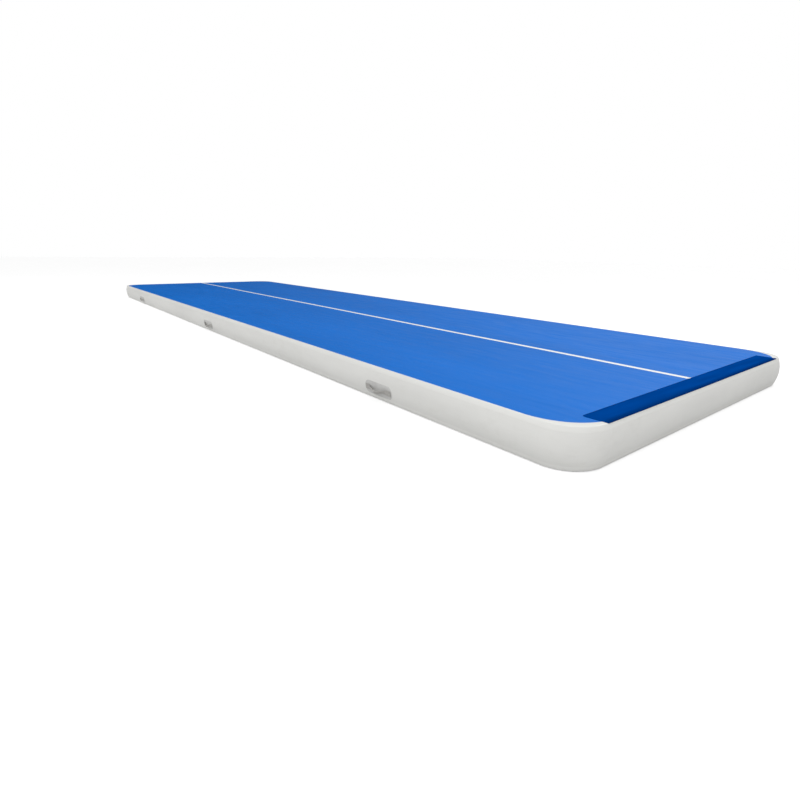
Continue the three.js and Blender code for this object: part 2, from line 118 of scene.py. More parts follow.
# ---------------------------------------------------------------- shapes
def cloth_noise(x, y, cell_x, cell_y, seed):
    """Smooth noise from -1 to 1 over x and y, with cells of the given sizes."""
    size = 256
    table = np.random.default_rng(seed).uniform(-1, 1, (size, size))
    u, v = np.broadcast_arrays(np.asarray(x, float) / cell_x, np.asarray(y, float) / cell_y)
    i, j = np.floor(u).astype(int), np.floor(v).astype(int)
    a, b = u - i, v - j
    a, b = a * a * (3 - 2 * a), b * b * (3 - 2 * b)
    low = table[i % size, j % size] * (1 - a) + table[(i + 1) % size, j % size] * a
    high = table[i % size, (j + 1) % size] * (1 - a) + table[(i + 1) % size, (j + 1) % size] * a
    return low * (1 - b) + high * b


def ease(t):
    """Rises smoothly from 0 to 1 as t does, and stays level outside."""
    t = np.clip(t, 0, 1)
    return t * t * (3 - 2 * t)


def outline_at(s):
    """Points on the deck's plan outline and the outward directions there, at distances s round it."""
    s = np.asarray(s, float) % ROUND
    k = np.clip(np.searchsorted(SIDE_STARTS, s, side="right") - 1, 0, 7)
    t, quarter, bend = s - SIDE_STARTS[k], k // 2, k % 2 == 1
    angle = (quarter - 1) * math.pi / 2 + np.where(bend, t / CORNER, 0)
    normal = np.stack([np.cos(angle), np.sin(angle)], -1)
    centres = np.array([[-1, -1], [1, -1], [1, 1], [-1, 1]]) * [STRAIGHT_X, STRAIGHT_Y]
    along = np.array([[1, 0], [0, 1], [-1, 0], [0, -1]])[quarter]
    lengths = np.array([2 * STRAIGHT_X, 2 * STRAIGHT_Y] * 2)[quarter]
    centre = centres[quarter] + along * np.where(bend, lengths, t)[..., None]
    return centre + CORNER * normal, normal


def edge_section(tilt, offset):
    """(out, height) on the wall where its surface faces up by tilt; it ends in a fillet at each rim."""
    steep = np.abs(tilt) > FILLET_TILT
    centre_out = np.where(steep, FILLET_OUT, WALL_CENTRE)
    centre_z = MIDDLE + np.where(steep, np.sign(tilt) * (MIDDLE - EDGE_RADIUS), 0)
    radius = np.where(steep, EDGE_RADIUS, WALL_RADIUS) + offset
    return centre_out + radius * np.cos(tilt), centre_z + radius * np.sin(tilt)


def tilt_at(z):
    """How far the wall's surface faces up where its arc passes a height."""
    return np.arcsin((z - MIDDLE) / WALL_RADIUS)


def corner_share(s):
    """1 in the middle of a rounded corner, falling to 0 a little way along the sides."""
    s = np.asarray(s, float) % ROUND
    middles = SIDE_STARTS[[1, 3, 5, 7]] + ARC / 2
    away = np.min([np.abs(s - m) for m in middles], axis=0)
    return 1 - ease(away / (0.8 * ARC))


def pucker(s, z):
    """How far the wall cloth lies in or out of its smooth arc: creases run up from the welded seams."""
    low, high = np.exp(-z / 0.05), np.exp(-(TOP - z) / 0.03)
    welded = ease((np.minimum(z, TOP - z) - EDGE_RADIUS) / (12 * MM))
    bend = corner_share(s)
    crease = (1 - np.abs(cloth_noise(s, 0.3 * z, 0.19, 0.3, 11))) ** 6
    gathers = (1 - np.abs(cloth_noise(s, 0.5 * z, 0.045, 0.3, 12))) ** 4
    swell = 0.9 * MM * cloth_noise(s, z, 0.55, 0.2, 13)
    creases = 1.4 * MM * crease * (low + 0.2 * high)
    return welded * (swell - creases - 0.9 * MM * gathers * bend * (0.8 * low + 0.7 * high))


def deck_height(x, y):
    """The deck's surface: the drop yarns hold it flat, but for a slow swell and pulls along its length."""
    inside = np.minimum(HALF_X - np.abs(x), HALF_Y - np.abs(y))
    swell = 0.7 * cloth_noise(x, y, 1.3, 0.6, 21) + 0.3 * cloth_noise(x, y, 0.5, 0.07, 22)
    return TOP + MM * swell * ease(inside / 0.1)


def lap_width(s):
    """How far the white tape laps onto the deck: a little along the sides, and more round each corner."""
    base, way = outline_at(s)
    near, far = np.zeros(len(s)), np.full(len(s), 0.15)
    for _ in range(30):
        middle = (near + far) / 2
        place = np.abs(base + way * (FILLET_OUT - middle)[:, None])
        past = place - [BLUE_X - BLUE_CORNER, BLUE_Y - BLUE_CORNER]
        reach = np.where(past.min(-1) > 0, np.hypot(past[:, 0], past[:, 1]), past.max(-1))
        near, far = np.where(reach > BLUE_CORNER, middle, near), np.where(reach > BLUE_CORNER, far, middle)
    return far


def sunk(away, offset, width=SINK_WIDTH):
    """A layer's offset: over the last few millimetres before its edge it sinks into the layer below."""
    return offset - (offset + SINK_DEPTH) * (1 - ease(away / width))


def stations(start, end):
    """Distances round the mat at places that every layer of cloth shares, with some more at both ends."""
    shared = np.arange(math.ceil(start / CLOTH_STEP), end / CLOTH_STEP) * CLOTH_STEP
    ends = [start, start + SINK_WIDTH / 2, start + SINK_WIDTH, end - SINK_WIDTH, end - SINK_WIDTH / 2, end]
    return np.unique(np.round(np.concatenate([shared, ends]), 4))


def grid_faces(rows, columns, closed=False):
    """Quads over a grid of points numbered row by row; closed joins the last column to the first."""
    i, j = np.meshgrid(np.arange(rows - 1), np.arange(columns if closed else columns - 1), indexing="ij")
    k = (j + 1) % columns
    quads = np.stack([i * columns + j, i * columns + k, (i + 1) * columns + k, (i + 1) * columns + j], -1)
    return quads.reshape(-1, 4)


def rounded_grid(half_x, half_y, radius, columns, rows, arc_steps):
    """A flat grid filling a rounded rectangle: points, quads, its boundary and outward directions."""
    turn = np.linspace(0, math.pi / 2, arc_steps + 1)
    run = np.linspace(-(half_x - radius), half_x - radius, columns + 1)
    ends = radius * np.cos(turn)
    xs = np.concatenate([run[0] - ends, run[1:-1], (run[-1] + ends)[::-1]])
    flat = np.full(columns - 1, math.pi / 2)
    turns = np.concatenate([turn, flat, turn[::-1]])
    width = half_y - radius + radius * np.sin(turns)
    share = np.linspace(-1, 1, rows + 1)
    points = np.stack([np.repeat(xs, rows + 1), np.outer(width, share).ravel()], -1)
    quads = grid_faces(len(xs), rows + 1)[:, ::-1]
    first, last = np.arange(len(xs)) * (rows + 1), np.arange(len(xs)) * (rows + 1) + rows
    end, start = first[-1] + np.arange(1, rows), np.arange(1, rows)[::-1]
    loop = np.concatenate([first, end, last[::-1], start])
    lean = np.cos(turns) * np.sign(xs)
    ones, zeros = np.ones(rows - 1), np.zeros(rows - 1)
    ways = np.concatenate([
        np.stack([lean, -np.sin(turns)], -1),
        np.stack([ones, zeros], -1),
        np.stack([lean, np.sin(turns)], -1)[::-1],
        np.stack([-ones, zeros], -1),
    ])
    return points, quads, loop, ways


def add_rim(points, quads, loop, ways, drops):
    """Carries a grid's boundary outwards and down: drops lists (out, change of height) from it."""
    count, size = len(points), len(loop)
    plan, height = points[loop, :2], points[loop, 2:]
    rims = [np.concatenate([plan + ways * out, height + rise], 1) for out, rise in drops]
    strips = grid_faces(len(drops) + 1, size, closed=True)
    numbers = np.concatenate([loop, count + np.arange(len(drops) * size)])
    return np.concatenate([points, *rims]), np.concatenate([quads, numbers[strips][:, ::-1]])


# ---------------------------------------------------------------- pieces
def mesh_piece(name, points, faces, finish, slot):
    """A smooth-shaded piece of the scene, with its finish and its material slot."""
    mesh = bpy.data.meshes.new(name)
    mesh.from_pydata(np.asarray(points).tolist(), [], [list(face) for face in faces])
    mesh.polygons.foreach_set("use_smooth", np.ones(len(mesh.polygons), bool))
    mesh.materials.append(finish)
    piece = bpy.data.objects.new(name, mesh)
    bpy.context.scene.collection.objects.link(piece)
    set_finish(piece, slot)
    return piece


def thicken(piece, thickness):
    """Gives a sheet its thickness behind the modelled face."""
    solidify = piece.modifiers.new("thickness", "SOLIDIFY")
    solidify.thickness = thickness
    solidify.offset = -1
    with bpy.context.temp_override(object=piece, active_object=piece):
        bpy.ops.object.modifier_apply(modifier=solidify.name)
    return piece


def wall_points(s, tilt, offset, share=1.0):
    """Points on one layer of the wall, at distances s round it and tilts. share scales its creases."""
    s, tilt = np.broadcast_arrays(s, tilt)
    base, way = outline_at(s)
    _, z = edge_section(tilt, 0)
    out, z = edge_section(tilt, offset + share * pucker(s, z))
    return np.concatenate([base + way * out[..., None], z[..., None]], -1)


def wall_layer(name, start, end, offset):
    """A strip of wall cloth from the bottom rim to the top one, between two distances round the mat."""
    s = stations(start, end)
    tilts = RIM_TILT * np.sin(np.linspace(-math.pi / 2, math.pi / 2, WALL_ROWS))
    offsets = sunk(np.minimum(s - start, end - s), offset)
    points = wall_points(s[None, :], tilts[:, None], offsets[None, :])
    faces = grid_faces(len(tilts), len(s))
    cloth = mesh_piece(name, points.reshape(-1, 3), faces, FINISHES["wall_pvc"], "wall_pvc")
    return thicken(cloth, WALL_THICK)


def holed_cloth(name, outline, centre, hole, offset, thickness, slot):
    """Wall cloth between a round hole and an outline. Both are given as (distance round, distance up)."""
    centre, outline = np.array(centre), np.array(outline)
    reach = outline - centre
    circle = centre + hole * reach / np.linalg.norm(reach, axis=1, keepdims=True)
    rows = np.linspace(0, 1, HOLE_RINGS)[:, None, None]
    spots = circle * (1 - rows) + outline * rows
    away = np.linalg.norm(spots - centre, axis=-1)
    calm = ease((away - VALVE_CALM) / VALVE_CALM)
    points = wall_points(spots[..., 0], spots[..., 1] / WALL_RADIUS, offset, calm)
    faces = grid_faces(len(rows), len(outline), closed=True)[:, ::-1]
    return thicken(mesh_piece(name, points.reshape(-1, 3), faces, FINISHES[slot], slot), thickness)


def swept(name, centres, across, through, half_widths, half_depths, finish, slot, power=(0.35, 0.7)):
    """A bar along a path, given its width and depth directions. A power of (1, 1) makes it round."""
    sides = 20
    angle = np.linspace(0, 2 * math.pi, sides, endpoint=False)
    flat = np.sign(np.cos(angle)) * np.abs(np.cos(angle)) ** power[0]
    thick = np.sign(np.sin(angle)) * np.abs(np.sin(angle)) ** power[1]
    rings = (
        centres[:, None]
        + across[:, None] * (half_widths[:, None] * flat)[..., None]
        + through[:, None] * (half_depths[:, None] * thick)[..., None]
    )
    faces = grid_faces(len(centres), sides, closed=True).tolist()
    last = (len(centres) - 1) * sides
    faces += [list(range(sides))[::-1], list(range(last, last + sides))]
    return face_outwards(mesh_piece(name, rings.reshape(-1, 3), faces, finish, slot))


def face_outwards(piece):
    """Turns every face of a closed piece outwards."""
    work = bmesh.new()
    work.from_mesh(piece.data)
    bmesh.ops.recalc_face_normals(work, faces=work.faces)
    work.to_mesh(piece.data)
    work.free()
    return piece


def stitch_row(route, normals, pitch, length, radius):
    """Capsules of thread along a route of points, as (points, faces). normals point out of the cloth."""
    gaps = np.linalg.norm(np.diff(route, axis=0), axis=1)
    along = np.concatenate([[0], np.cumsum(gaps)])
    places = np.arange(pitch / 2, along[-1], pitch)
    centre = np.stack([np.interp(places, along, route[:, k]) for k in range(3)], -1)
    up = np.stack([np.interp(places, along, normals[:, k]) for k in range(3)], -1)
    ahead = np.stack([np.interp(places + 0.5 * length, along, route[:, k]) for k in range(3)], -1) - centre
    ahead /= np.maximum(np.linalg.norm(ahead, axis=1, keepdims=True), 1e-9)
    side = np.cross(up, ahead)
    shape = [(-0.5, 0.3), (-0.3, 0.95), (0.3, 0.95), (0.5, 0.3)]
    spokes = np.linspace(0, 2 * math.pi, 6, endpoint=False)
    points = np.stack([
        centre
        + ahead * (reach * length)
        + side * (radius * size * math.cos(a))
        + up * (radius * size * math.sin(a))
        for reach, size in shape for a in spokes
    ], 1)
    one = grid_faces(len(shape), len(spokes), closed=True)
    count = len(shape) * len(spokes)
    faces = (one[None] + count * np.arange(len(places))[:, None, None]).reshape(-1, 4)
    return points.reshape(-1, 3), faces


def stitching(name, rows, finish, slot):
    """One piece holding several rows of stitches."""
    points, faces, count = [], [], 0
    for row_points, row_faces in rows:
        points.append(row_points)
        faces.append(row_faces + count)
        count += len(row_points)
    return face_outwards(mesh_piece(name, np.concatenate(points), np.concatenate(faces), finish, slot))


# ---------------------------------------------------------------- materials
def linear(red, green, blue):
    """A colour given as it looks on a screen, from 0 to 255, as the shader's linear colour."""
    parts = [c / 255 for c in (red, green, blue)]
    return [p / 12.92 if p <= 0.04045 else ((p + 0.055) / 1.055) ** 2.4 for p in parts] + [1.0]


# Sockets of the mix node by number, since its colour and number sockets share their names.
COLOUR_A, COLOUR_B, COLOUR_OUT = 6, 7, 2
NUMBER_A, NUMBER_B, NUMBER_OUT = 2, 3, 0


class Finish:
    """A procedural material built up from named layers. Lengths in it are metres."""

    def __init__(self, name, colour, roughness, **settings):
        self.material = bpy.data.materials.new(name)
        self.material.use_nodes = True
        self.tree = self.material.node_tree
        self.shader = self.tree.nodes["Principled BSDF"]
        self.shader.inputs["Base Color"].default_value = colour
        self.shader.inputs["Roughness"].default_value = roughness
        for key, value in settings.items():
            self.shader.inputs[key.replace("_", " ")].default_value = value
        self.place = self.node("ShaderNodeTexCoord").outputs["Object"]
        self.colour = None
        self.plain = colour
        self.normal = None

    def node(self, kind, inputs=(), **settings):
        made = self.tree.nodes.new(kind)
        for key, value in settings.items():
            setattr(made, key, value)
        for key, value in dict(inputs).items():
            if isinstance(value, bpy.types.NodeSocket):
                self.tree.links.new(value, made.inputs[key])
            else:
                made.inputs[key].default_value = value
        return made

    def noise(self, cell, detail=2.0, rough=0.5):
        """Noise whose features are about cell long on each axis."""
        scaled = self.node("ShaderNodeMapping", {"Vector": self.place, "Scale": [1 / c for c in cell]})
        return self.node(
            "ShaderNodeTexNoise",
            {"Vector": scaled.outputs[0], "Scale": 1.0, "Detail": detail, "Roughness": rough},
        ).outputs["Fac"]

    def bands(self, direction, pitch):
        """Even threads or ribs across one axis, from 0 to 1. The wave node has its own factor of 20."""
        wave = self.node(
            "ShaderNodeTexWave",
            {"Vector": self.place, "Scale": 2 * math.pi / pitch / 20, "Distortion": 0.0, "Detail": 0.0},
            wave_type="BANDS", bands_direction=direction, wave_profile="SIN",
        )
        return wave.outputs["Fac"]

    def spread(self, value, low, high, low_to=0.0, high_to=1.0):
        return self.node(
            "ShaderNodeMapRange",
            {"Value": value, "From Min": low, "From Max": high, "To Min": low_to, "To Max": high_to},
        ).outputs[0]

    def maths(self, operation, first, second):
        return self.node("ShaderNodeMath", {0: first, 1: second}, operation=operation).outputs[0]

    def tint(self, factor, colour):
        """Mixes another colour over what is there by a factor from 0 to 1."""
        mix = self.node("ShaderNodeMix", data_type="RGBA", blend_type="MIX")
        self.tree.links.new(factor, mix.inputs[0])
        if self.colour is None:
            mix.inputs[COLOUR_A].default_value = self.plain
        else:
            self.tree.links.new(self.colour, mix.inputs[COLOUR_A])
        mix.inputs[COLOUR_B].default_value = colour
        self.colour = mix.outputs[COLOUR_OUT]
        self.tree.links.new(self.colour, self.shader.inputs["Base Color"])
        return self

    def relief(self, height, depth):
        """Raises the surface by up to depth where height is 1."""
        bump = self.node("ShaderNodeBump", {"Height": height, "Distance": depth, "Strength": 1.0})
        if self.normal is not None:
            self.tree.links.new(self.normal, bump.inputs["Normal"])
        self.normal = bump.outputs[0]
        self.tree.links.new(self.normal, self.shader.inputs["Normal"])
        return self

    def gloss(self, value, low, high):
        """Roughness from low to high as a value goes from 0 to 1."""
        self.tree.links.new(self.spread(value, 0.3, 0.7, low, high), self.shader.inputs["Roughness"])
        return self


def shaded(colour, by):
    """A colour made darker or lighter by a factor."""
    return [c * by for c in colour[:3]] + [1.0]


def deck_finish():
    blue = linear(0, 118, 221)
    deck = Finish("deck_pvc", blue, 0.42, Specular_IOR_Level=0.12)
    deck.tint(deck.spread(deck.noise((2.2, 0.5, 1)), 0.3, 0.7), shaded(blue, 0.9))
    pulls = deck.noise((0.3, 0.007, 1), detail=3.0)
    # Lighter blue along the raised pulls is a painted highlight on their ridges; the pulls also raise the surface
    # through the relief below.
    deck.tint(deck.spread(pulls, 0.45, 0.75, 0.0, 0.35), shaded(blue, 1.1))
    # Pale blue streaks in broad patches are a painted sheen, standing in for reflections on the glossy deck.
    painted_sheen_streaks = deck.maths("MULTIPLY", deck.spread(deck.noise((0.25, 0.03, 1), 4.0), 0.62, 0.8),
                        deck.spread(deck.noise((0.9, 0.9, 1)), 0.5, 0.7))
    deck.tint(deck.maths("MULTIPLY", painted_sheen_streaks, 0.2), linear(120, 165, 225))
    deck.gloss(deck.noise((0.3, 0.05, 1), 3.0), 0.36, 0.52)
    deck.relief(pulls, 0.35 * MM)
    weave = deck.maths("MULTIPLY", deck.bands("X", 1.6 * MM), deck.bands("Y", 1.6 * MM))
    deck.relief(weave, 0.07 * MM)
    deck.relief(deck.noise((0.004, 0.0015, 0.002), 3.0), 0.12 * MM)
    return deck.material


def wall_finish(name, colour, roughness=0.4, weave=0.0):
    """White PVC. With a weave, the cloth's threads and its slow waves show through."""
    wall = Finish(name, colour, roughness, Specular_IOR_Level=0.35)
    wall.tint(wall.spread(wall.noise((0.8, 0.8, 0.15)), 0.35, 0.7), shaded(colour, 0.955))
    dust = wall.maths("MULTIPLY", wall.spread(wall.noise((0.06, 0.06, 0.03), 4.0), 0.5, 0.8),
                      wall.spread(wall.noise((0.7, 0.7, 0.3)), 0.45, 0.7))
    wall.tint(wall.maths("MULTIPLY", dust, 0.18), linear(176, 172, 160))
    wall.gloss(wall.noise((0.1, 0.1, 0.05), 3.0), roughness - 0.07, roughness + 0.1)
    if weave:
        wall.relief(wall.noise((0.35, 0.35, 0.02), 3.0), 0.8 * MM)
        threads = wall.maths("ADD", wall.bands("Z", weave), wall.bands("DIAGONAL", weave))
        wall.relief(threads, 0.03 * MM)
    wall.relief(wall.noise((0.003, 0.003, 0.003), 2.0), 0.05 * MM)
    return wall.material


def line_finish():
    white = linear(250, 252, 250)
    line = Finish("line_white", white, 0.45, Specular_IOR_Level=0.3)
    line.tint(line.spread(line.noise((0.15, 0.02, 1), 4.0), 0.55, 0.8, 0, 0.5), linear(222, 228, 233))
    line.relief(line.noise((0.3, 0.01, 1), 3.0), 0.3 * MM)
    line.relief(line.maths("MULTIPLY", line.bands("X", 1.6 * MM), line.bands("Y", 1.6 * MM)), 0.05 * MM)
    return line.material


def base_finish():
    grey = linear(170, 172, 174)
    base = Finish("base_pvc", grey, 0.6)
    ribs = base.maths("MULTIPLY", base.bands("X", 5 * MM), base.bands("Y", 5 * MM))
    base.tint(base.spread(base.noise((0.6, 0.6, 1), 4.0), 0.4, 0.75), shaded(grey, 0.82))
    base.tint(base.maths("MULTIPLY", ribs, 0.3), shaded(grey, 1.15))
    base.relief(ribs, 0.4 * MM)
    base.relief(base.noise((0.002, 0.002, 0.002)), 0.1 * MM)
    return base.material


def flap_finish():
    navy = linear(0, 66, 148)
    flap = Finish("flap_fabric", navy, 0.6, Specular_IOR_Level=0.0)
    flap.tint(flap.spread(flap.noise((0.05, 0.4, 1), 3.0), 0.35, 0.7), shaded(navy, 0.82))
    weave = flap.maths("MULTIPLY", flap.bands("X", 0.9 * MM), flap.bands("Y", 0.9 * MM))
    flap.tint(flap.maths("MULTIPLY", weave, 0.25), shaded(navy, 1.3))
    # The flap is painted darker towards its lip: painted shade where it turns down over the end of the mat.
    hem = flap.node("ShaderNodeAttribute", attribute_name="hem").outputs["Fac"]
    flap.tint(flap.maths("MULTIPLY", hem, 0.8), shaded(navy, 0.4))
    flap.gloss(flap.noise((0.03, 0.1, 1), 3.0), 0.44, 0.6)
    flap.relief(flap.noise((0.02, 0.18, 1), 3.0), 0.7 * MM)
    flap.relief(weave, 0.08 * MM)
    return flap.material


def pile_finish():
    blue = linear(6, 44, 104)
    pile = Finish("hook_loop", blue, 0.95, Sheen_Weight=0.12, Sheen_Roughness=0.6, Specular_IOR_Level=0.1)
    fuzz = pile.noise((0.0012, 0.0012, 0.0012), 4.0, 0.7)
    pile.tint(pile.spread(fuzz, 0.4, 0.75), shaded(blue, 1.9))
    pile.relief(fuzz, 0.9 * MM)
    return pile.material


def patch_finish():
    grey = linear(208, 208, 206)
    patch = Finish("patch_pvc", grey, 0.5, Specular_IOR_Level=0.35)
    patch.tint(patch.spread(patch.noise((0.08, 0.08, 0.04), 3.0), 0.35, 0.7), shaded(grey, 0.86))
    patch.relief(patch.noise((0.03, 0.03, 0.03), 2.0), 0.5 * MM)
    threads = patch.maths("ADD", patch.bands("X", 1.3 * MM), patch.bands("Z", 1.3 * MM))
    patch.relief(threads, 0.05 * MM)
    return patch.material


def webbing_finish():
    grey = linear(182, 180, 176)
    webbing = Finish("webbing", grey, 0.85, Sheen_Weight=0.3, Sheen_Roughness=0.5)
    ribs = webbing.maths("MULTIPLY", webbing.bands("X", 2.2 * MM), webbing.bands("Z", 1.5 * MM))
    webbing.tint(webbing.spread(ribs, 0.0, 1.0), shaded(grey, 0.72))
    fading = webbing.spread(webbing.noise((0.03, 0.03, 0.03), 3.0), 0.5, 0.8, 0, 0.4)
    webbing.tint(fading, shaded(grey, 1.15))
    webbing.relief(ribs, 0.5 * MM)
    webbing.relief(webbing.noise((0.0008, 0.0008, 0.0008), 3.0, 0.7), 0.2 * MM)
    return webbing.material


def thread_finish(name, bright, dull, **settings):
    """Twisted sewing thread in two shades."""
    thread = Finish(name, bright, 0.7, **settings)
    twist = thread.bands("DIAGONAL", 0.8 * MM)
    thread.tint(twist, dull)
    thread.relief(twist, 0.12 * MM)
    return thread.material


def core_finish():
    cream = linear(222, 219, 208)
    core = Finish("drop_stitch", cream, 0.9, Sheen_Weight=0.2)
    yarns = core.maths("MULTIPLY", core.bands("X", 2 * MM), core.bands("Y", 2 * MM))
    core.tint(yarns, shaded(cream, 0.8))
    core.relief(yarns, 0.4 * MM)
    return core.material


def moulded_finish():
    grey = linear(142, 146, 151)
    plastic = Finish("valve_plastic", grey, 0.45)
    plastic.tint(plastic.spread(plastic.noise((0.02, 0.02, 0.02), 4.0), 0.4, 0.75), shaded(grey, 0.88))
    plastic.gloss(plastic.noise((0.008, 0.008, 0.008), 4.0), 0.36, 0.56)
    plastic.relief(plastic.noise((0.0007, 0.0007, 0.0007), 3.0), 0.05 * MM)
    return plastic.material


def rubber_finish():
    black = linear(30, 31, 33)
    rubber = Finish("seal_rubber", black, 0.75, Specular_IOR_Level=0.4)
    rubber.tint(rubber.spread(rubber.noise((0.006, 0.006, 0.006), 4.0), 0.5, 0.8), linear(58, 58, 60))
    rubber.relief(rubber.noise((0.0009, 0.0009, 0.0009), 3.0), 0.08 * MM)
    return rubber.material


def steel_finish():
    steel = Finish("spring_steel", linear(196, 199, 202), 0.28, Metallic=1.0)
    steel.gloss(steel.noise((0.0004, 0.004, 0.0004), 3.0), 0.2, 0.42)
    steel.relief(steel.noise((0.0003, 0.003, 0.0003), 2.0), 0.02 * MM)
    return steel.material


FINISHES = {
    "deck_pvc": deck_finish(),
    "wall_pvc": wall_finish("wall_pvc", linear(230, 230, 227), weave=1.4 * MM),
    "tape_pvc": wall_finish("tape_pvc", linear(234, 234, 231), 0.42),
    "base_pvc": base_finish(),
    "drop_stitch": core_finish(),
    "line_white": line_finish(),
    "flap_fabric": flap_finish(),
    "hook_loop": pile_finish(),
    "patch_pvc": patch_finish(),
    "webbing": webbing_finish(),
    "valve_plastic": moulded_finish(),
    "seal_rubber": rubber_finish(),
    "spring_steel": steel_finish(),
}
THREAD = thread_finish("thread", linear(214, 213, 208), linear(178, 177, 172), Sheen_Weight=0.3)
NAVY_THREAD = thread_finish("navy_thread", linear(0, 58, 132), linear(0, 42, 102), Specular_IOR_Level=0.1)

for part in frame["record"]["subparts"]:
    cad_node = frame["nodes"][part["node"]]
    cad_node.data.materials.clear()
    cad_node.data.materials.append(FINISHES[part["material_slot"]])


def round_edges(piece, width):
    """Softens a moulded piece's sharp edges."""
    bevel = piece.modifiers.new("edges", "BEVEL")
    bevel.width = width
    bevel.segments = 2
    bevel.limit_method = "ANGLE"
    bevel.angle_limit = SHARP_EDGE


for moulding in ("valve_cap", "valve_body", "valve_stem"):
    round_edges(frame["nodes"][moulding], MOULDED_EDGE)


# ---------------------------------------------------------------- air chamber
def rim_drops(sign, last_tilt):
    """Steps from the deck's plane round the edge fillet, down to a tilt."""
    tilts = np.linspace(math.pi / 2, last_tilt, 6)[1:]
    out, z = edge_section(tilts, 0)
    return [(o - FILLET_OUT, sign * (h - TOP)) for o, h in zip(out, z)]


def chamber_grid(columns, rows):
    """A grid over the flat part of the deck or the base, out to where the edge fillet starts."""
    half_x, half_y, radius = HALF_X + FILLET_OUT, HALF_Y + FILLET_OUT, CORNER + FILLET_OUT
    return rounded_grid(half_x, half_y, radius, columns, rows, arc_steps=12)


def build_deck():
    flat, quads, loop, ways = chamber_grid(columns=260, rows=130)
    heights = deck_height(flat[:, 0], flat[:, 1])
    points = np.concatenate([flat, heights[:, None]], 1)
    points, faces = add_rim(points, quads, loop, ways, rim_drops(1, DECK_TILT))
    deck = thicken(mesh_piece("deck", points, faces, FINISHES["deck_pvc"], "deck_pvc"), SHEET_THICK)
    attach(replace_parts(deck, "deck_sheet"), "mat")


def build_base():
    flat, quads, loop, ways = chamber_grid(columns=60, rows=30)
    points = np.concatenate([flat, np.zeros((len(flat), 1))], 1)
    points, faces = add_rim(points, quads, loop, ways, rim_drops(-1, DECK_TILT))
    sheet = mesh_piece("base", points, faces[:, ::-1], FINISHES["base_pvc"], "base_pvc")
    base = thicken(sheet, SHEET_THICK)
    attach(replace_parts(base, "base_sheet"), "mat")


def build_walls():
    sides = {"left": 0, "near_end": 2, "right": 4, "far_end": 6}
    for side, k in sides.items():
        first, last = SIDE_STARTS[k] - STRIP_LAP, SIDE_STARTS[k + 1] + STRIP_LAP
        if side == "far_end":
            first = SIDE_STARTS[k] + STRAIGHT_Y - VALVE_PANEL_END
        cloth = wall_layer(f"sidewall_{side}_cloth", first, last, STRIP_OUT)
        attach(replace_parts(cloth, f"sidewall_{side}"), "mat")
    corners = {"near_left": 1, "near_right": 3, "far_right": 5, "far_left": 7}
    for corner, k in corners.items():
        first, last = SIDE_STARTS[k] - WRAP_LAP, SIDE_STARTS[k + 1] + WRAP_LAP
        name = f"corner_wrap_{corner}"
        cloth = wall_layer(f"{name}_cloth", first, last, WRAP_OUT)
        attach(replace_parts(cloth, name), "mat")


def build_tapes():
    """The bottom tape ends on the lower fillet. The top one turns over the edge and laps onto the deck."""
    s = np.arange(CLOTH_COLUMNS) * CLOTH_STEP
    up_wall = np.concatenate([
        np.linspace(tilt_at(TOP - TAPE_WIDTH), FILLET_TILT, 11),
        np.linspace(FILLET_TILT, math.pi / 2, 7)[1:],
    ])
    above = up_wall - up_wall[0]
    on_wall = wall_points(s[None, :], up_wall[:, None], sunk(above * WALL_RADIUS, TAPE_OUT)[:, None])
    base, way = outline_at(s)
    share = np.linspace(0, 1, 7)[1:, None]
    lap = share * lap_width(s)
    flat = base + way * (FILLET_OUT - lap)[..., None]
    over_deck = sunk((1 - share) * lap_width(s), TAPE_OUT, TAPE_SINK)
    heights = deck_height(flat[..., 0], flat[..., 1]) + over_deck
    points = np.concatenate([on_wall, np.concatenate([flat, heights[..., None]], -1)])
    faces = grid_faces(len(points), len(s), closed=True)
    white = FINISHES["tape_pvc"]
    tape = mesh_piece("top_seam_tape_cloth", points.reshape(-1, 3), faces, white, "tape_pvc")
    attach(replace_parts(thicken(tape, TAPE_THICK), "top_seam_tape"), "mat")

    down_wall = -up_wall[up_wall < BOTTOM_TAPE_TILT][::-1]
    below = (down_wall[-1] - down_wall) * WALL_RADIUS
    points = wall_points(s[None, :], down_wall[:, None], sunk(below, TAPE_OUT)[:, None])
    faces = grid_faces(len(down_wall), len(s), closed=True)
    tape = mesh_piece("bottom_seam_tape_cloth", points.reshape(-1, 3), faces, white, "tape_pvc")
    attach(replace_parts(thicken(tape, TAPE_THICK), "bottom_seam_tape"), "mat")


def build_line():
    low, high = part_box("centre_line")
    x = np.linspace(low.x, high.x, 330)
    y = np.linspace(low.y, high.y, 7)
    gx, gy = np.meshgrid(x, y, indexing="ij")
    wander = 0.5 * MM * cloth_noise(gx, 0, 0.9, 1, 31)
    points = np.stack([gx, gy + wander, deck_height(gx, gy) + LINE_LIFT], -1).reshape(-1, 3)
    faces = grid_faces(len(x), len(y))[:, ::-1]
    line = thicken(mesh_piece("line", points, faces, FINISHES["line_white"], "line_white"), TAPE_THICK)
    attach(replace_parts(line, "centre_line"), "mat")


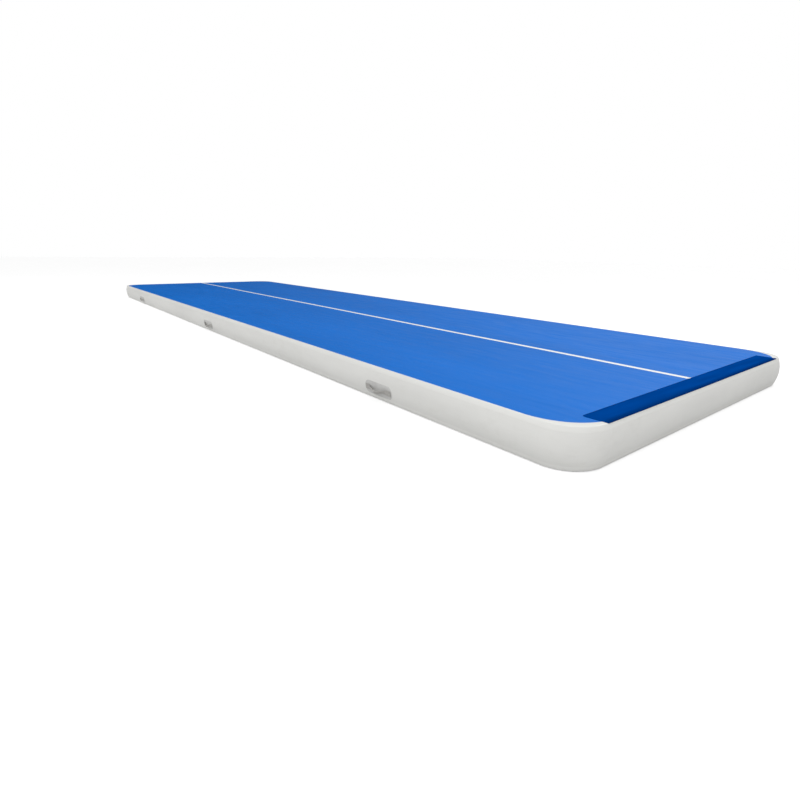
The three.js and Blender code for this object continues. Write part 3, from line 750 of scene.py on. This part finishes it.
def build_valve_cloths():
    """The piece of end wall that the valve is set in, and the round patch on it."""
    centre = (SIDE_STARTS[6] + STRAIGHT_Y - VALVE_AT.y, 0.0)
    first = SIDE_STARTS[6] - STRIP_LAP
    last = SIDE_STARTS[6] + STRAIGHT_Y - VALVE_PANEL_END + STRIP_LAP
    rim = RIM_TILT * WALL_RADIUS
    across, up = np.linspace(first, last, PANEL_COLUMNS), np.linspace(-rim, rim, PANEL_ROWS)
    edge = np.concatenate([
        np.stack([across, np.full(PANEL_COLUMNS, -rim)], -1)[:-1],
        np.stack([np.full(PANEL_ROWS, last), up], -1)[:-1],
        np.stack([across[::-1], np.full(PANEL_COLUMNS, rim)], -1)[:-1],
        np.stack([np.full(PANEL_ROWS, first), up[::-1]], -1)[:-1],
    ])
    panel = holed_cloth("valve_panel_cloth", edge, centre, VALVE_HOLE, PANEL_OUT, WALL_THICK, "wall_pvc")
    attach(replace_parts(panel, "valve_panel"), "mat")
    low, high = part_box("valve_patch")
    turn = np.linspace(0, 2 * math.pi, 96, endpoint=False)
    circle = np.array(centre) + (high.y - low.y) / 2 * np.stack([np.cos(turn), np.sin(turn)], -1)
    patch = holed_cloth(
        "valve_patch_cloth", circle, centre, VALVE_HOLE, PATCH_OUT, PATCH_THICK, "patch_pvc",
    )
    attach(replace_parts(patch, "valve_patch"), "mat")


SPRING_TURNS, STEPS_PER_TURN = 6, 36
WIRE_RADIUS, STEM_TRAVEL = 0.6 * MM, 7 * MM


def build_spring():
    """The valve's coil of steel wire, which the stem squeezes against its seat; here the coil keeps one shape."""
    low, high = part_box("valve_spring")
    turn = np.linspace(0, 2 * math.pi * SPRING_TURNS, STEPS_PER_TURN * SPRING_TURNS)
    radial = np.stack([0 * turn, np.cos(turn), np.sin(turn)], -1)
    x = np.linspace(high.x - WIRE_RADIUS, low.x + WIRE_RADIUS, len(turn))
    axis = np.array([0, (low.y + high.y) / 2, (low.z + high.z) / 2])
    centres = axis + radial * ((high.y - low.y) / 2 - WIRE_RADIUS) + np.stack([x, 0 * x, 0 * x], -1)
    along = np.tile([1.0, 0, 0], (len(turn), 1))
    wire = np.full(len(turn), WIRE_RADIUS)
    steel = FINISHES["spring_steel"]
    coil = swept("valve_spring_coil", centres, radial, along, wire, wire, steel, "spring_steel", (1, 1))
    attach(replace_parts(coil, "valve_spring"), "mat")
    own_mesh(coil)


build_deck()
build_base()
build_walls()
build_tapes()
build_line()
build_valve_cloths()
build_spring()


# ---------------------------------------------------------------- joining flap
FLAP_LOW, FLAP_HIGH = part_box("joining_flap")
LIP_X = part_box("flap_hem")[1].x - 2 * MM
HEM_TURN = EDGE_RADIUS + 4.6 * MM
HEM_REACH = 10 * MM
FREE_SLOPE = 0.45
FOLD_X = FLAP_HIGH.x
FLAP_ROUNDING = 12 * MM
# Where the painted shade on the flap's lip starts.
LIP_SHADE_START = HALF_X - 38 * MM
FLAP_LIFT = 1.6 * MM
FLAP_ROWS, FLAP_COLUMNS, FLAP_END_COLUMNS = 46, 320, 37
FLAP_SEAMS = (FLAP_LOW.x + 8 * MM, FLAP_LOW.x + 11 * MM, FOLD_X - 7 * MM, HALF_X - 1 * MM)
SEAM_MARGIN, SEAM_STEPS = 16 * MM, 300


def past_rim(x, y):
    """How far a place near the end lies outside the line where the deck starts to turn down."""
    beyond = np.stack([x - STRAIGHT_X, np.abs(y) - STRAIGHT_Y])
    return np.where(beyond[1] > 0, np.hypot(*beyond), beyond[0]) - (CORNER + FILLET_OUT)


def flap_height(x, y):
    """The flap lies over its tapes, drops off their edges and turns down over the end of the mat."""
    over_tape = np.minimum.reduce([
        ease((x - FLAP_LOW.x) / (9 * MM)),
        ease((y - FLAP_LOW.y) / (12 * MM)),
        ease((FLAP_HIGH.y - y) / (12 * MM)),
    ])
    height = TOP + FLAP_LIFT + (HEM_TURN - EDGE_RADIUS - FLAP_LIFT) * over_tape
    past = past_rim(x, y)
    turned = np.clip(past, 0, HEM_REACH)
    drop = HEM_TURN - np.sqrt(HEM_TURN ** 2 - turned ** 2)
    waves = 0.35 * MM * cloth_noise(x, y, 0.09, 0.3, 41) + 0.2 * MM * cloth_noise(x, y, 0.03, 0.07, 42)
    return height - drop - FREE_SLOPE * np.clip(past - HEM_REACH, 0, None) + waves * over_tape


def flap_span(x):
    """The flap's ends, as half its span, with its corners rounded."""
    edge = np.minimum(x - FLAP_LOW.x, LIP_X - x)
    short = np.clip(FLAP_ROUNDING - edge, 0, FLAP_ROUNDING)
    cut = FLAP_ROUNDING - np.sqrt(FLAP_ROUNDING ** 2 - short ** 2)
    return (FLAP_HIGH.y - FLAP_LOW.y) / 2 - cut


def build_flap():
    middle_y = (FLAP_LOW.y + FLAP_HIGH.y) / 2
    share = np.linspace(0, 1, FLAP_ROWS)
    x = FLAP_LOW.x + (LIP_X - FLAP_LOW.x) * (0.7 * share + 0.3 * ease(share))
    across = np.sin(np.linspace(-math.pi / 2, math.pi / 2, FLAP_END_COLUMNS))
    across = np.unique(np.concatenate([across, np.linspace(-0.985, 0.985, FLAP_COLUMNS)]))
    gx = np.repeat(x[:, None], len(across), 1)
    gy = middle_y + flap_span(x)[:, None] * across[None]
    points = np.stack([gx, gy, flap_height(gx, gy)], -1).reshape(-1, 3)
    faces = grid_faces(len(x), len(across))
    flap = mesh_piece("flap_cloth", points, faces[:, ::-1], FINISHES["flap_fabric"], "flap_fabric")
    # Painted shade on the flap: 0 inland, rising to 1 at the lip.
    hem = flap.data.attributes.new("hem", "FLOAT", "POINT")
    hem.data.foreach_set("value", ease((points[:, 0] - LIP_SHADE_START) / (LIP_X - LIP_SHADE_START)))
    thicken(flap, FLAP_THICK)
    rows = []
    y = np.linspace(FLAP_LOW.y + SEAM_MARGIN, FLAP_HIGH.y - SEAM_MARGIN, SEAM_STEPS)
    for place in FLAP_SEAMS:
        line_x = np.full(len(y), place)
        route = np.stack([line_x, y, flap_height(line_x, y)], -1)
        rows.append(stitch_row(route, np.tile([0.0, 0, 1], (len(y), 1)), *FLAP_STITCH))
    seams = stitching("flap_stitching", rows, NAVY_THREAD, "flap_fabric")
    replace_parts(flap, "joining_flap", "flap_hem")
    for piece in (flap, seams):
        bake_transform(piece)


def build_pile(node, name, body):
    """A strip of hook-and-loop tape with an uneven pile."""
    low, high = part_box(node)
    x = np.linspace(low.x, high.x, 24)
    y = np.linspace(low.y, high.y, 420)
    gx, gy = np.meshgrid(x, y, indexing="ij")
    edge = np.minimum.reduce([gx - low.x, high.x - gx, gy - low.y, high.y - gy])
    pile = (0.35 + 0.15 * cloth_noise(gx, gy, 0.008, 0.008, 51)) * MM
    height = high.z - pile - 0.4 * MM * (1 - ease(edge / (4 * MM)))
    points = np.stack([gx, gy, height], -1).reshape(-1, 3)
    faces = grid_faces(len(x), len(y))
    tape = mesh_piece(name, points, faces[:, ::-1], FINISHES["hook_loop"], "hook_loop")
    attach(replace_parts(thicken(tape, PILE_THICK), node), body)


build_pile("deck_loop_tape", "deck_loop", "mat")
build_pile("flap_hook_tape", "flap_hook", "joining_flap_body")
build_flap()


# ---------------------------------------------------------------- carry handles
HINGES = {j["child"]: Vector(j["pos_m"]) for j in frame["joints"] if j["child"].startswith("grip_")}
SEWN_OUTER, SEWN_INNER, GRIP_HALF, SEWN_OUT = 140 * MM, 112 * MM, 65 * MM, 3.3 * MM
GRIP_BOW, GRIP_DROOP = 20 * MM, math.radians(30)
PATCH_RIM = 2 * MM
FLAT_HALF_WIDTH, FOLDED_HALF_WIDTH = 19 * MM, 10 * MM
FLAT_HALF_DEPTH, FOLDED_HALF_DEPTH = 1.2 * MM, 2.6 * MM


class Handle:
    """One carry handle: it turns places given as (along, out, up) from its hinge line into the frame."""

    def __init__(self, side, number):
        self.name = f"handle_{side}_{number}"
        self.body = f"grip_{side}_{number}"
        self.way = -1 if side == "left" else 1
        self.hinge = HINGES[self.body]
        out, up = abs(self.hinge.y) - HALF_Y - WALL_CENTRE, self.hinge.z - MIDDLE
        self.lean = math.atan2(up, out)
        self.face = WALL_RADIUS - math.hypot(out, up)

    def turn(self, along, out, up):
        """A direction given in the handle's own frame, which leans with the wall."""
        along, out, up = np.broadcast_arrays(along, out, up)
        cos, sin = math.cos(self.lean), math.sin(self.lean)
        return np.stack([along, self.way * (out * cos - up * sin), out * sin + up * cos], -1)

    def place(self, along, out, up):
        """A place given from the hinge line; the wall's outer surface is at out = face."""
        return np.array(self.hinge) + self.turn(along, out, up)


def handle_patch(handle):
    """The grey patch glued on the wall under the strap, with its edge rounded down to the wall."""
    low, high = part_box(f"{handle.name}_patch")
    half_x, half_z = (high.x - low.x) / 2, (high.z - low.z) / 2
    flat, quads, loop, ways = rounded_grid(
        half_x - PATCH_RIM, half_z - PATCH_RIM, 0.9 * half_z, columns=44, rows=14, arc_steps=14,
    )
    points = np.concatenate([flat, np.zeros((len(flat), 1))], 1)
    drops = [(0.9 * MM, -0.1 * MM), (1.6 * MM, -0.4 * MM), (PATCH_RIM, -1.1 * MM)]
    points, faces = add_rim(points, quads, loop, ways, drops)
    z = (low.z + high.z) / 2 + points[:, 1]
    swell = 0.25 * MM * cloth_noise(points[:, 0], points[:, 1], 0.05, 0.03, 61 + len(handle.name))
    out, z = edge_section(tilt_at(z), PATCH_OUT + swell + points[:, 2])
    x = (low.x + high.x) / 2 + points[:, 0]
    placed = np.stack([x, handle.way * (HALF_Y + out), z], -1)
    facing = faces[:, ::-handle.way]
    patch = mesh_piece(f"{handle.name}_patch_cloth", placed, facing, FINISHES["patch_pvc"], "patch_pvc")
    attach(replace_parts(patch, f"{handle.name}_patch"), "mat")


def strap_path(handle, along):
    """The strap's centreline, width direction and depth direction, and how far it is folded (0 to 1)."""
    distance = np.abs(along)
    bow = GRIP_BOW * 0.5 * (1 + np.cos(math.pi * np.clip(distance / (GRIP_HALF + 10 * MM), 0, 1)))
    droop = GRIP_DROOP * (1 - ease((distance - 0.8 * GRIP_HALF) / (SEWN_INNER - 0.8 * GRIP_HALF)))
    sewn_out = handle.face + SEWN_OUT
    climb = 1 - ease((distance - GRIP_HALF) / (SEWN_INNER - GRIP_HALF))
    out = sewn_out * (1 - climb) + bow * np.cos(droop)
    centres = handle.place(along, out, -bow * np.sin(droop))
    across = handle.turn(0 * along, np.sin(droop), np.cos(droop))
    through = handle.turn(0 * along, np.cos(droop), -np.sin(droop))
    folded = 1 - ease((distance - 0.85 * GRIP_HALF) / (0.95 * SEWN_INNER - 0.85 * GRIP_HALF))
    return centres, across, through, folded


def strap_half(handle, side, letter):
    """Half the strap, from the middle of the grip to one sewn end."""
    along = side * np.linspace(0, SEWN_OUTER, 57)
    centres, across, through, folded = strap_path(handle, along)
    widths = FLAT_HALF_WIDTH + (FOLDED_HALF_WIDTH - FLAT_HALF_WIDTH) * folded
    depths = FLAT_HALF_DEPTH + (FOLDED_HALF_DEPTH - FLAT_HALF_DEPTH) * folded
    name = f"{handle.name}_strap_{letter}"
    strap = swept(name, centres, across, through, widths, depths, FINISHES["webbing"], "webbing")
    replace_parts(strap, f"{handle.name}_sewn_end_{letter}", f"{handle.name}_grip")
    start = handle.place(side * SEWN_INNER, 0, 0)
    end = handle.place(side * GRIP_HALF, 0, 0)
    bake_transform(strap)


def box_stitches(handle, side, letter):
    """The sewn end's box of stitches with its cross."""
    low, high = SEWN_INNER + 4 * MM, SEWN_OUTER - 3 * MM
    half = FLAT_HALF_WIDTH - 4 * MM
    corners = [(low, -half), (high, -half), (high, half), (low, half)]
    legs = [(corners[i], corners[(i + 1) % 4]) for i in range(4)]
    legs += [(corners[0], corners[2]), (corners[1], corners[3])]
    surface = handle.face + SEWN_OUT + FLAT_HALF_DEPTH
    rows = []
    for (from_x, from_z), (to_x, to_z) in legs:
        t = np.linspace(0, 1, 12)
        route = handle.place(side * (from_x + (to_x - from_x) * t), surface, from_z + (to_z - from_z) * t)
        normals = handle.turn(0 * t, 1, 0)
        rows.append(stitch_row(route, normals, *BOX_STITCH))
    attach(stitching(f"{handle.name}_box_stitch_{letter}", rows, THREAD, "webbing"), "mat")


def grip_sleeve(handle):
    """The folded webbing round the middle of the grip, with the seam that closes it."""
    along = np.linspace(-0.8 * GRIP_HALF, 0.8 * GRIP_HALF, 45)
    centres, across, through, _ = strap_path(handle, along)
    ends = ease((0.8 * GRIP_HALF - np.abs(along)) / (4 * MM))
    widths = FOLDED_HALF_WIDTH + 0.6 * MM + 1.0 * MM * ends
    depths = FOLDED_HALF_DEPTH + 0.4 * MM + 0.8 * MM * ends
    name = f"{handle.name}_sleeve"
    sleeve = swept(name, centres, across, through, widths, depths, FINISHES["webbing"], "webbing")
    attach(sleeve, handle.body)
    rows = []
    for height in (-0.62, 0.62):
        route = centres + across * (widths * height)[:, None] + through * (depths * 0.93)[:, None]
        rows.append(stitch_row(route, through, *SLEEVE_STITCH))
    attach(stitching(f"{handle.name}_sleeve_stitch", rows, THREAD, "webbing"), handle.body)


for side_name in ("left", "right"):
    for place_number in (1, 2, 3):
        built = Handle(side_name, place_number)
        handle_patch(built)
        strap_half(built, -1, "a")
        strap_half(built, 1, "b")
        box_stitches(built, -1, "a")
        box_stitches(built, 1, "b")
        grip_sleeve(built)


# ---------------------------------------------------------------- floor, light and camera
LIGHT_FROM = (-0.25, -0.8, 0.35)
ROOM_LIGHT = (0.5, 0.95)
REFLECTION_FROM = (0.5, 0.8, 0.1)
REFLECTED_LIGHT = (0.0, 0.7)
REFLECTION_START = -0.3
BACKDROP = 1.0
FLOOR_LIFT, FLOOR_HALF = 0.55, 40


def build_floor():
    x = np.linspace(-FLOOR_HALF, FLOOR_HALF, 9)
    gx, gy = np.meshgrid(x, x, indexing="ij")
    points = np.stack([gx, gy, np.zeros_like(gx)], -1).reshape(-1, 3)
    pale = Finish("floor", linear(205, 205, 205), 0.7, Emission_Color=(1, 1, 1, 1))
    seen = pale.node("ShaderNodeLightPath").outputs["Is Camera Ray"]
    lift = pale.maths("MULTIPLY", seen, FLOOR_LIFT)
    pale.tree.links.new(lift, pale.shader.inputs["Emission Strength"])
    pale.tint(pale.spread(pale.noise((3, 3, 3), 3.0), 0.4, 0.7), linear(203, 203, 203))
    floor = mesh_piece("floor", points, grid_faces(9, 9)[:, ::-1], pale.material, "wall_pvc")
    face_outwards(floor)
    del floor["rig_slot"]


def area_light(name, place, target, size, power):
    data = bpy.data.lights.new(name, "AREA")
    data.shape = "RECTANGLE"
    data.size, data.size_y = size
    data.energy = power
    light = bpy.data.objects.new(name, data)
    light.location = place
    light.rotation_euler = (Vector(target) - Vector(place)).to_track_quat("-Z", "Y").to_euler()
    bpy.context.scene.collection.objects.link(light)


def build_world():
    """A white studio, brightest from the left of the mat. What its surfaces reflect has its own levels."""
    world = bpy.data.worlds.new("studio")
    bpy.context.scene.world = world
    world.use_nodes = True
    tree = world.node_tree

    def node(kind, **settings):
        made = tree.nodes.new(kind)
        for key, value in settings.items():
            setattr(made, key, value)
        return made

    def glow(way, start, low, high):
        """A grey from low to high as a direction turns towards way, once its cosine passes start."""
        dot = node("ShaderNodeVectorMath", operation="DOT_PRODUCT")
        tree.links.new(place.outputs["Generated"], dot.inputs[0])
        dot.inputs[1].default_value = Vector(way).normalized()
        spread = node("ShaderNodeMapRange")
        tree.links.new(dot.outputs["Value"], spread.inputs["Value"])
        spread.inputs["From Min"].default_value = start
        spread.inputs["To Min"].default_value = low
        spread.inputs["To Max"].default_value = high
        return spread.outputs[0]

    def choose(switch, otherwise, chosen):
        mix = node("ShaderNodeMix", data_type="FLOAT")
        tree.links.new(path.outputs[switch], mix.inputs[0])
        for value, socket in ((otherwise, mix.inputs[NUMBER_A]), (chosen, mix.inputs[NUMBER_B])):
            if isinstance(value, float):
                socket.default_value = value
            else:
                tree.links.new(value, socket)
        return mix.outputs[NUMBER_OUT]

    place, path = node("ShaderNodeTexCoord"), node("ShaderNodeLightPath")
    room = glow(LIGHT_FROM, -1, *ROOM_LIGHT)
    reflected = glow(REFLECTION_FROM, REFLECTION_START, *REFLECTED_LIGHT)
    strength = choose("Is Camera Ray", choose("Is Glossy Ray", room, reflected), BACKDROP)
    tree.links.new(strength, tree.nodes["Background"].inputs["Strength"])
    tree.nodes["Background"].inputs["Color"].default_value = (1, 1, 1, 1)


CAMERA_AT = (6.077, -3.161, 0.963)
YAW, PITCH, ROLL = math.radians(-49.5), math.radians(17.05), math.radians(0.94)
SENSOR, LENS, SHIFT = 36, 22.13, -0.0375


def build_camera():
    ahead = Vector((math.sin(YAW) * math.cos(PITCH), math.cos(YAW) * math.cos(PITCH), -math.sin(PITCH)))
    level = ahead.cross(Vector((0, 0, 1))).normalized()
    above = level.cross(ahead)
    right = math.cos(ROLL) * level + math.sin(ROLL) * above
    up = -math.sin(ROLL) * level + math.cos(ROLL) * above
    data = bpy.data.cameras.new("camera")
    data.sensor_width = SENSOR
    data.lens = LENS
    data.shift_x = SHIFT
    data.clip_end = 200
    camera = bpy.data.objects.new("camera", data)
    turn = Matrix((right, up, -ahead)).transposed().to_4x4()
    camera.matrix_world = Matrix.Translation(CAMERA_AT) @ turn
    bpy.context.scene.collection.objects.link(camera)
    bpy.context.scene.camera = camera


build_floor()
build_world()
area_light("key", (-3.5, -6.5, 5.0), (-3.5, 0, 0), (11, 4), 140)
area_light("overhead", (4.0, 3.5, 5.0), (3.5, 0, 0), (5, 3), 90)
area_light("corner_glint", (8.2, -3.1, 3.6), (HALF_X, -HALF_Y, TOP), (1.2, 1.2), 42)
build_camera()
bpy.context.scene.view_settings.view_transform = "Standard"
